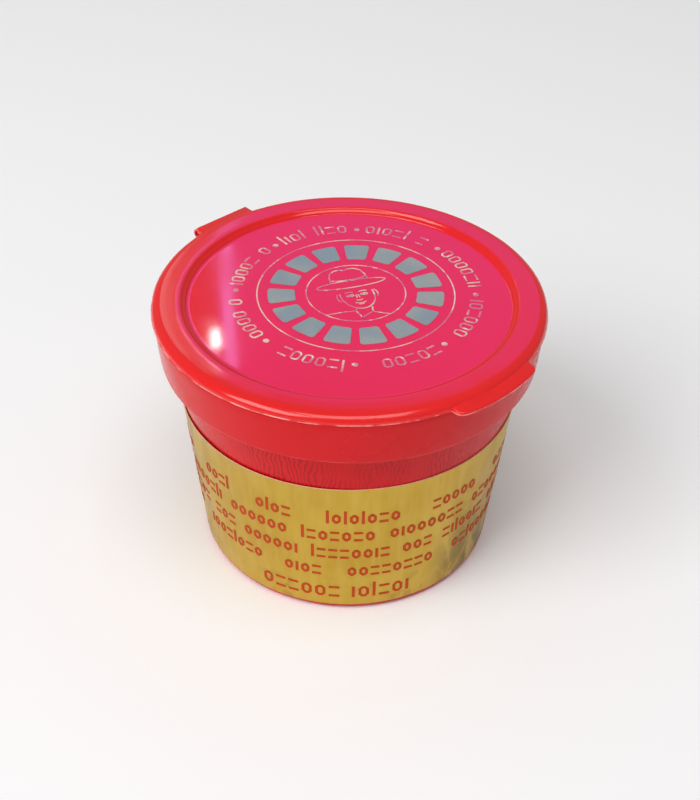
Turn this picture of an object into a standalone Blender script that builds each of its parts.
"""A cake of bass rosin in its pleated paper cup, inside a one-piece moulded tub with a hinged snap lid.

Run with: blender --background --python part.py
Lengths below are in millimetres and become metres through MM. +Z is up and the origin is on the tub's axis,
at the surface it stands on. The thumb tab points along -Y and the living hinge lies at +Y. The lid is shut.
"""

import math

import bmesh
import bpy
from mathutils import Matrix, Vector

MM = 0.001

# Driving dimensions
TURN_STEPS = 72  # facets of every plain turned surface
FILLET_STEPS = 3  # facets of a small inside corner
ROUND_STEPS = 4  # facets of a rounded outside edge
BEVEL_SEGMENTS = 2
CREASE_ANGLE = math.radians(35)  # a sharper turn than this is shaded as an edge
WELD_DISTANCE = 0.00001  # metres, points closer than this are one
TOTAL_HEIGHT = 38.1
PARTING_Z = 36.95  # underside of the lid's rim
CLEARANCE = 0.3  # kept between pieces that touch
LID_RADIUS = 26.0
WALL = 1.1
EDGE_BREAK = 0.15  # softening of a moulded edge

# Tub
BASE_RADIUS = 20.25  # of the body's cone where it would meet the ground
BODY_SLOPE = 0.101  # radius gained for each millimetre of height
BASE_ROUND = 0.8
FOOT_INNER_RADIUS = 18.2
FOOT_RECESS = 0.7  # depth of the hollow inside the standing ring
FOOT_DRAFT = 0.5  # how far the ring's inner side leans
FLOOR_TOP = FOOT_RECESS + 1.2
FLOOR_FILLET = 1.2
COLLAR_BOTTOM_Z = 30.5
COLLAR_TOP_Z = PARTING_Z - CLEARANCE
COLLAR_BOTTOM_RADIUS = 25.3
COLLAR_TOP_RADIUS = 25.85
LEDGE_ROUND = 0.25  # where the bore opens into the collar
SNAP_BEAD = 0.25
SNAP_BEAD_Z = 35.6
SNAP_BEAD_HALF_HEIGHT = 0.55

# Lid
RIM_ROUND = 0.9
RIM_INNER_RADIUS = 22.3
PANEL_RADIUS = 21.6
PANEL_DEPTH = 0.7
PANEL_THICKNESS = 1.1
PLUG_RADIUS = 24.0
PLUG_WALL = 0.9
PLUG_DEPTH = 2.6
PLUG_BEAD = 0.22
PLUG_BEAD_RISE = 0.6  # from the plug's lower end to its bead
PLUG_EDGE = 0.2

# Thumb tab
TAB_RADIUS = 27.5
TAB_HALF_ANGLE = math.radians(16.5)
TAB_END_ROUND = 0.9  # how far the tab's outer edge falls back at its two ends
TAB_END_SHARPNESS = 10  # a higher power keeps that fall closer to the ends
TAB_STEPS = 12
TAB_ROOT_RADIUS = LID_RADIUS - 1.0  # inside the rim, so that the two are one
TAB_BOTTOM_Z = PARTING_Z + 0.05
TAB_TOP_Z = PARTING_Z + 0.55
TAB_LIP_RADIUS = 26.5  # inner side of the lip that hangs from the tab's edge
TAB_LIP_DROP = 0.4  # from the parting line to the lip's lower edge
TAB_LIP_TOP_Z = PARTING_Z + 0.3

# Living hinge
LUG_HALF_WIDTH = 4.5
LUG_OUTER_Y = 26.7
LUG_INNER_Y = 24.9
LUG_DROP = 1.3  # height of the collar's lug
LUG_TOP_Z = TOTAL_HEIGHT - 0.1  # of the lid's lug, just under the rim's top
WEB_BEND_RADIUS = 0.45
WEB_THICKNESS = 0.3
WEB_HALF_WIDTH = 4.2
WEB_STEPS = 10
HINGE_Z = PARTING_Z - CLEARANCE / 2
HINGE_Y = LUG_OUTER_Y + WEB_BEND_RADIUS * math.pi / 2  # keeps the web's length between shut and laid flat

# Label
LABEL_BOTTOM_Z = 0.9
LABEL_TOP_Z = 24.0
LABEL_THICKNESS = 0.15
LABEL_OVERLAP = math.radians(10)
LAP_GAP = 0.1  # between the two layers where the label laps itself
LABEL_SEAM_ANGLE = math.radians(60)
LABEL_STEP = math.radians(5)  # arc over which the end climbs onto the start

# Paper cup and rosin
PLEATS = 60
PLEAT_DEPTH = 0.65
CUP_BOTTOM_Z = FLOOR_TOP + CLEARANCE
CUP_TOP_Z = 30.0
CUP_THICKNESS = 0.2
CUP_HEEL = 1.6  # size of the slant from the cup's bottom into its side
FOLD_SLANT = 1.25  # a pleated sheet measures this many times its thickness across its slanting folds
CAKE_TOP_Z = 27.5
CAKE_MENISCUS = 0.5  # how far the rosin climbed the paper
CAKE_SINK = 0.35  # how far its middle shrank down as it set
CAKE_DISH_SHARE = 0.6  # of both the radius and the sink, where the dished top bends
CAKE_RIM_WIDTH = 1.3  # of the band that climbs to the paper
CAKE_RIM_FOLD = 0.3  # share of the pleats' depth at that band's inner edge

# Colour, roughness and metallic value of each piece
LOOKS = {
    "tub": ((0.62, 0.018, 0.03), 0.3, 0.0),
    "lid": ((0.72, 0.02, 0.045), 0.2, 0.0),
    "hinge_web": ((0.72, 0.02, 0.045), 0.3, 0.0),
    "label": ((0.58, 0.42, 0.09), 0.35, 0.7),
    "paper_cup": ((0.72, 0.6, 0.45), 0.8, 0.0),
    "rosin_cake": ((0.3, 0.035, 0.008), 0.12, 0.0),
}


def body_radius(z):
    """Outer radius of the tub's tapered body."""
    return BASE_RADIUS + BODY_SLOPE * z


def bore_radius(z):
    """Inner radius of the tub's tapered body."""
    return body_radius(z) - WALL


def crest_radius(z):
    """Radius of the paper cup's pleat crests."""
    return bore_radius(z) - CLEARANCE


def arc(centre, radius, start, end, steps):
    """Points on an arc in the (radius, height) plane, with angles in degrees."""
    points = []
    for i in range(steps + 1):
        angle = math.radians(start + (end - start) * i / steps)
        points.append((centre[0] + radius * math.cos(angle), centre[1] + radius * math.sin(angle)))
    return points


def clear_scene():
    for obj in list(bpy.data.objects):
        bpy.data.objects.remove(obj)


def new_collection(name):
    collection = bpy.data.collections.new(name)
    bpy.context.scene.collection.children.link(collection)
    return collection


def add_object(name, mesh, collection):
    obj = bpy.data.objects.new(name, mesh)
    collection.objects.link(obj)
    return obj


def paint(obj):
    """Gives the object a material of its own."""
    rgb, roughness, metallic = LOOKS[obj.name]
    material = bpy.data.materials.new(obj.name)
    material.use_nodes = True
    shader = material.node_tree.nodes["Principled BSDF"]
    shader.inputs["Base Color"].default_value = (*rgb, 1.0)
    shader.inputs["Roughness"].default_value = roughness
    shader.inputs["Metallic"].default_value = metallic
    obj.data.materials.append(material)


def shade(mesh):
    mesh.shade_smooth()
    mesh.set_sharp_from_angle(angle=CREASE_ANGLE)


def turned(name, profile, collection):
    """A profile turned with a Screw modifier. It starts and ends on the axis and runs down its outer side."""
    mesh = bpy.data.meshes.new(name)
    points = [(radius * MM, 0.0, height * MM) for radius, height in profile]
    mesh.from_pydata(points, [(i, i + 1) for i in range(len(points) - 1)], [])
    obj = add_object(name, mesh, collection)
    screw = obj.modifiers.new("turn", "SCREW")
    screw.axis = "Z"
    screw.steps = TURN_STEPS
    screw.render_steps = TURN_STEPS
    screw.use_merge_vertices = True
    screw.merge_threshold = WELD_DISTANCE
    screw.use_smooth_shade = True
    return obj


def baked(obj):
    """Replaces the object's mesh with the one its modifiers make."""
    graph = bpy.context.evaluated_depsgraph_get()
    mesh = bpy.data.meshes.new_from_object(obj.evaluated_get(graph))
    obj.modifiers.clear()
    obj.data = mesh


def move_origin(obj, place):
    """Puts the object's origin at a place, and leaves its mesh where it is."""
    obj.data.transform(Matrix.Translation(-place))
    obj.location = place


def join_with(obj, helper):
    """Unites the helper with the object by a Boolean, and keeps the helper out of the model."""
    helper.hide_render = True
    helper.display_type = "WIRE"
    union = obj.modifiers.new("with " + helper.name, "BOOLEAN")
    union.operation = "UNION"
    union.solver = "EXACT"
    union.object = helper


def block(name, low, high, rounding, collection):
    """A box between two corners, with its edges bevelled."""
    mesh = bpy.data.meshes.new(name)
    shape = bmesh.new()
    bmesh.ops.create_cube(shape, size=1.0)
    size = Vector(high) - Vector(low)
    bmesh.ops.scale(shape, vec=size * MM, verts=shape.verts)
    bmesh.ops.translate(shape, vec=(Vector(low) + size / 2) * MM, verts=shape.verts)
    bmesh.ops.bevel(
        shape, geom=shape.edges, offset=rounding * MM, segments=BEVEL_SEGMENTS, affect="EDGES", profile=0.5
    )
    shape.to_mesh(mesh)
    shape.free()
    return add_object(name, mesh, collection)


def plate(name, outline, bottom_z, top_z, collection):
    """A flat outline in X and Y, filled and extruded between two heights, as a welded mesh."""
    curve = bpy.data.curves.new(name, "CURVE")
    curve.dimensions = "2D"
    curve.fill_mode = "BOTH"
    curve.extrude = (top_z - bottom_z) / 2 * MM
    spline = curve.splines.new("POLY")
    spline.points.add(len(outline) - 1)
    for point, (x, y) in zip(spline.points, outline):
        point.co = (x * MM, y * MM, 0.0, 1.0)
    spline.use_cyclic_u = True
    drawn = add_object(name + "_outline", curve, collection)
    graph = bpy.context.evaluated_depsgraph_get()
    mesh = bpy.data.meshes.new_from_object(drawn.evaluated_get(graph))
    bpy.data.objects.remove(drawn)
    shape = bmesh.new()
    shape.from_mesh(mesh)
    bmesh.ops.remove_doubles(shape, verts=shape.verts, dist=WELD_DISTANCE)
    bmesh.ops.recalc_face_normals(shape, faces=shape.faces)
    bmesh.ops.translate(shape, vec=(0.0, 0.0, (top_z + bottom_z) / 2 * MM), verts=shape.verts)
    shape.to_mesh(mesh)
    shape.free()
    return add_object(name, mesh, collection)


def tub_profile():
    """From the inside of the floor up the bore, over the collar and down the outside to the standing ring."""
    ledge_z = COLLAR_BOTTOM_Z + WALL
    mouth_radius = COLLAR_TOP_RADIUS - WALL
    throat_radius = COLLAR_BOTTOM_RADIUS - WALL
    foot_outer = body_radius(BASE_ROUND) - BASE_ROUND
    floor_corner = (bore_radius(FLOOR_TOP) - FLOOR_FILLET, FLOOR_TOP + FLOOR_FILLET)
    points = [(0.0, FLOOR_TOP)]
    points += arc(floor_corner, FLOOR_FILLET, -90, 0, FILLET_STEPS)
    points += [
        (bore_radius(ledge_z - LEDGE_ROUND), ledge_z - LEDGE_ROUND),
        (bore_radius(ledge_z) + LEDGE_ROUND, ledge_z),
        (throat_radius, ledge_z),
        (mouth_radius - EDGE_BREAK, SNAP_BEAD_Z - SNAP_BEAD_HALF_HEIGHT),
        (mouth_radius - SNAP_BEAD, SNAP_BEAD_Z),
        (mouth_radius, SNAP_BEAD_Z + SNAP_BEAD_HALF_HEIGHT),
        (mouth_radius + EDGE_BREAK, COLLAR_TOP_Z),
        (COLLAR_TOP_RADIUS - EDGE_BREAK, COLLAR_TOP_Z),
        (COLLAR_TOP_RADIUS, COLLAR_TOP_Z - EDGE_BREAK),
        (COLLAR_BOTTOM_RADIUS, COLLAR_BOTTOM_Z + EDGE_BREAK),
        (COLLAR_BOTTOM_RADIUS - EDGE_BREAK, COLLAR_BOTTOM_Z),
        (body_radius(COLLAR_BOTTOM_Z) + EDGE_BREAK, COLLAR_BOTTOM_Z),
        (body_radius(COLLAR_BOTTOM_Z), COLLAR_BOTTOM_Z - EDGE_BREAK),
    ]
    points += arc((foot_outer, BASE_ROUND), BASE_ROUND, 0, -90, ROUND_STEPS)
    points += [
        (FOOT_INNER_RADIUS, 0.0),
        (FOOT_INNER_RADIUS - FOOT_DRAFT, FOOT_RECESS),
        (0.0, FOOT_RECESS),
    ]
    return points


def lid_profile():
    """From the panel's top out over the rim, under it, round the plug ring and along the underside."""
    panel_z = TOTAL_HEIGHT - PANEL_DEPTH
    underside_z = panel_z - PANEL_THICKNESS
    plug_end_z = PARTING_Z - PLUG_DEPTH
    plug_inner = PLUG_RADIUS - PLUG_WALL
    rim_centre = (LID_RADIUS - RIM_ROUND, TOTAL_HEIGHT - RIM_ROUND)
    points = [
        (0.0, panel_z),
        (PANEL_RADIUS, panel_z),
        (RIM_INNER_RADIUS - EDGE_BREAK, TOTAL_HEIGHT - EDGE_BREAK),
        (RIM_INNER_RADIUS + EDGE_BREAK, TOTAL_HEIGHT),
    ]
    points += arc(rim_centre, RIM_ROUND, 90, 0, ROUND_STEPS)
    points += [
        (LID_RADIUS, PARTING_Z),
        (PLUG_RADIUS + PLUG_EDGE, PARTING_Z),
        (PLUG_RADIUS, PARTING_Z - PLUG_EDGE),
        (PLUG_RADIUS, plug_end_z + 2 * PLUG_BEAD_RISE),
        (PLUG_RADIUS + PLUG_BEAD, plug_end_z + PLUG_BEAD_RISE),
        (PLUG_RADIUS - PLUG_EDGE, plug_end_z),
        (plug_inner + PLUG_EDGE, plug_end_z),
        (plug_inner, plug_end_z + PLUG_EDGE),
        (plug_inner - PLUG_EDGE, underside_z),
        (0.0, underside_z),
    ]
    return points


def tab_outline(inner_radius):
    """Plan of the thumb tab: an arc outside the rim whose two ends curve back in to it."""
    outer = []
    inner = []
    for i in range(TAB_STEPS + 1):
        share = -1 + 2 * i / TAB_STEPS
        angle = -math.pi / 2 + share * TAB_HALF_ANGLE
        reach = TAB_RADIUS - TAB_END_ROUND * abs(share) ** TAB_END_SHARPNESS
        outer.append((reach * math.cos(angle), reach * math.sin(angle)))
        inner.append((inner_radius * math.cos(angle), inner_radius * math.sin(angle)))
    return outer + inner[::-1]


def make_tub(parts, helpers):
    tub = turned("tub", tub_profile(), parts)
    lug = block(
        "collar_hinge_lug",
        (-LUG_HALF_WIDTH, LUG_INNER_Y, COLLAR_TOP_Z - LUG_DROP),
        (LUG_HALF_WIDTH, LUG_OUTER_Y, COLLAR_TOP_Z),
        EDGE_BREAK,
        helpers,
    )
    join_with(tub, lug)
    baked(tub)
    shade(tub.data)
    paint(tub)


def make_lid(parts, helpers):
    lid = turned("lid", lid_profile(), parts)
    lug = block(
        "lid_hinge_lug",
        (-LUG_HALF_WIDTH, LUG_INNER_Y, PARTING_Z),
        (LUG_HALF_WIDTH, LUG_OUTER_Y, LUG_TOP_Z),
        EDGE_BREAK,
        helpers,
    )
    tab = plate("tab_plate", tab_outline(TAB_ROOT_RADIUS), TAB_BOTTOM_Z, TAB_TOP_Z, helpers)
    lip = plate("tab_lip", tab_outline(TAB_LIP_RADIUS), PARTING_Z - TAB_LIP_DROP, TAB_LIP_TOP_Z, helpers)
    join_with(lid, lug)
    join_with(lid, tab)
    join_with(lid, lip)
    baked(lid)
    shade(lid.data)
    move_origin(lid, Vector((0.0, HINGE_Y, HINGE_Z)) * MM)
    paint(lid)


def make_hinge_web(parts):
    """The thin strip that joins the two lugs, folded outwards while the lid is shut."""
    rows = arc((LUG_OUTER_Y + CLEARANCE, HINGE_Z), WEB_BEND_RADIUS, -90, 90, WEB_STEPS)
    mesh = bpy.data.meshes.new("hinge_web")
    shape = bmesh.new()
    ends = [
        [shape.verts.new((side * WEB_HALF_WIDTH * MM, y * MM, z * MM)) for y, z in rows]
        for side in (-1, 1)
    ]
    for i in range(len(rows) - 1):
        shape.faces.new((ends[0][i], ends[1][i], ends[1][i + 1], ends[0][i + 1]))
    shape.to_mesh(mesh)
    shape.free()
    web = add_object("hinge_web", mesh, parts)
    shell = web.modifiers.new("thickness", "SOLIDIFY")
    shell.thickness = WEB_THICKNESS * MM
    shell.offset = 0.0
    paint(web)


def label_surface(angle):
    """How far the label stands off the tub at this angle from its start: its end climbs over its start."""
    past = angle - (2 * math.pi - LABEL_STEP)
    climb = min(1.0, max(0.0, past / LABEL_STEP))
    return CLEARANCE + climb * (LABEL_THICKNESS + LAP_GAP)


def make_label(parts):
    """A paper band wound once round the body, with its end lapped over its start."""
    steps = round((2 * math.pi + LABEL_OVERLAP) / (2 * math.pi / TURN_STEPS))
    mesh = bpy.data.meshes.new("label")
    shape = bmesh.new()
    rows = []
    for z in (LABEL_BOTTOM_Z, LABEL_TOP_Z):
        row = []
        for i in range(steps + 1):
            wound = 2 * math.pi * i / TURN_STEPS
            radius = body_radius(z) + label_surface(wound)
            angle = LABEL_SEAM_ANGLE + wound
            point = (radius * math.cos(angle), radius * math.sin(angle), z)
            row.append(shape.verts.new(Vector(point) * MM))
        rows.append(row)
    for i in range(steps):
        shape.faces.new((rows[0][i], rows[0][i + 1], rows[1][i + 1], rows[1][i]))
    shape.to_mesh(mesh)
    shape.free()
    mesh.shade_smooth()
    label = add_object("label", mesh, parts)
    shell = label.modifiers.new("thickness", "SOLIDIFY")
    shell.thickness = LABEL_THICKNESS * MM
    shell.offset = 1.0
    paint(label)


def pleated(name, profile, collection):
    """A closed turned solid whose side is folded into pleats.

    The profile's points are (radius, height, share): share 1 takes the full pleat depth and 0 stays round.
    """
    mesh = bpy.data.meshes.new(name)
    shape = bmesh.new()
    folds = shape.verts.layers.float.new("fold")
    line = [shape.verts.new((radius * MM, 0.0, z * MM)) for radius, z, _ in profile]
    edges = [shape.edges.new((a, b)) for a, b in zip(line, line[1:])]
    for vert, (_, _, share) in zip(line, profile):
        vert[folds] = share
    bmesh.ops.spin(
        shape,
        geom=line + edges,
        cent=(0, 0, 0),
        axis=(0, 0, 1),
        angle=2 * math.pi,
        steps=2 * PLEATS,
        use_merge=True,
    )
    bmesh.ops.remove_doubles(shape, verts=shape.verts, dist=WELD_DISTANCE)
    for vert in shape.verts:
        radius = math.hypot(vert.co.x, vert.co.y)
        if radius < WELD_DISTANCE:
            continue
        turn = math.atan2(vert.co.y, vert.co.x) / (2 * math.pi)
        in_valley = round(turn * 2 * PLEATS) % 2
        depth = PLEAT_DEPTH * MM * vert[folds] * in_valley
        vert.co.xy *= (radius - depth) / radius
    bmesh.ops.recalc_face_normals(shape, faces=shape.faces)
    shape.to_mesh(mesh)
    shape.free()
    return add_object(name, mesh, collection)


def make_paper_cup(parts):
    heel_radius = crest_radius(CUP_BOTTOM_Z) - CUP_HEEL
    floor_z = CUP_BOTTOM_Z + CUP_THICKNESS
    side_z = CUP_BOTTOM_Z + CUP_HEEL
    inset = CUP_THICKNESS * FOLD_SLANT
    cup = pleated(
        "paper_cup",
        [
            (0.0, floor_z, 0),
            (heel_radius, floor_z, 0),
            (crest_radius(side_z) - inset, side_z + CUP_THICKNESS / 2, 1),
            (crest_radius(CUP_TOP_Z) - inset, CUP_TOP_Z, 1),
            (crest_radius(CUP_TOP_Z), CUP_TOP_Z, 1),
            (crest_radius(side_z), side_z, 1),
            (heel_radius, CUP_BOTTOM_Z, 0),
            (0.0, CUP_BOTTOM_Z, 0),
        ],
        parts,
    )
    paint(cup)


def make_rosin_cake(parts):
    """The cake was poured into the cup, so its side carries the cup's pleats."""
    heel_radius = crest_radius(CUP_BOTTOM_Z) - CUP_HEEL
    bottom_z = CUP_BOTTOM_Z + CUP_THICKNESS + CLEARANCE
    side_z = CUP_BOTTOM_Z + CUP_HEEL + CUP_THICKNESS
    inset = (CUP_THICKNESS + CLEARANCE) * FOLD_SLANT
    edge_radius = crest_radius(CAKE_TOP_Z) - inset
    cake = pleated(
        "rosin_cake",
        [
            (0.0, CAKE_TOP_Z - CAKE_SINK, 0),
            (edge_radius * CAKE_DISH_SHARE, CAKE_TOP_Z - CAKE_SINK * CAKE_DISH_SHARE, 0),
            (edge_radius - CAKE_RIM_WIDTH, CAKE_TOP_Z, CAKE_RIM_FOLD),
            (edge_radius, CAKE_TOP_Z + CAKE_MENISCUS, 1),
            (crest_radius(side_z) - inset, side_z, 1),
            (heel_radius - CUP_THICKNESS / 2, bottom_z, 0),
            (0.0, bottom_z, 0),
        ],
        parts,
    )
    paint(cake)


def main():
    clear_scene()
    parts = new_collection("rosin cake in its tub")
    helpers = new_collection("helpers")
    make_tub(parts, helpers)
    make_lid(parts, helpers)
    make_hinge_web(parts)
    make_label(parts)
    make_paper_cup(parts)
    make_rosin_cake(parts)


main()
